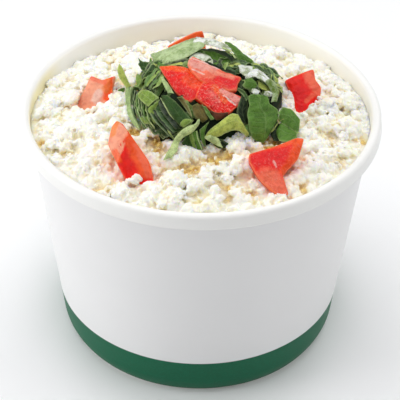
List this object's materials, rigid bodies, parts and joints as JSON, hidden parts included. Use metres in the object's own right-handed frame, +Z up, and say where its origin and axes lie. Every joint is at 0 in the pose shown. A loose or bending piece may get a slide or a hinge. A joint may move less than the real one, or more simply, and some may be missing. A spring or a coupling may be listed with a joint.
{
  "type": "bowl of mish",
  "caption": "White paper tub with a rolled rim and a green band, filled with crumbly white curd cheese and topped with shredded green herb and tomato pieces.",
  "frame": {"origin": "middle of the tub's foot, on the surface that it stands on", "axes": "+Z up through the rim, -Y towards the viewer of the picture, +X to the viewer's right"},
  "size_m": [0.115, 0.115, 0.0997],
  "materials": {
    "coated_paper": "white coated paper with a smooth satin surface and a printed dark green band at the foot",
    "white_curd": null,
    "green_herb": null,
    "red_tomato": null
  },
  "bodies": {
    "root": {"tub_wall": "coated_paper", "tub_base": "coated_paper", "cheese_heap": "white_curd", "herb_heap": "green_herb", "tomato_top_left": "red_tomato", "tomato_top_front": "red_tomato", "tomato_top_back": "red_tomato", "tomato_front_left": "red_tomato", "tomato_front_right": "red_tomato", "tomato_right": "red_tomato", "tomato_left": "red_tomato", "tomato_back": "red_tomato"}
  },
  "joints": []
}
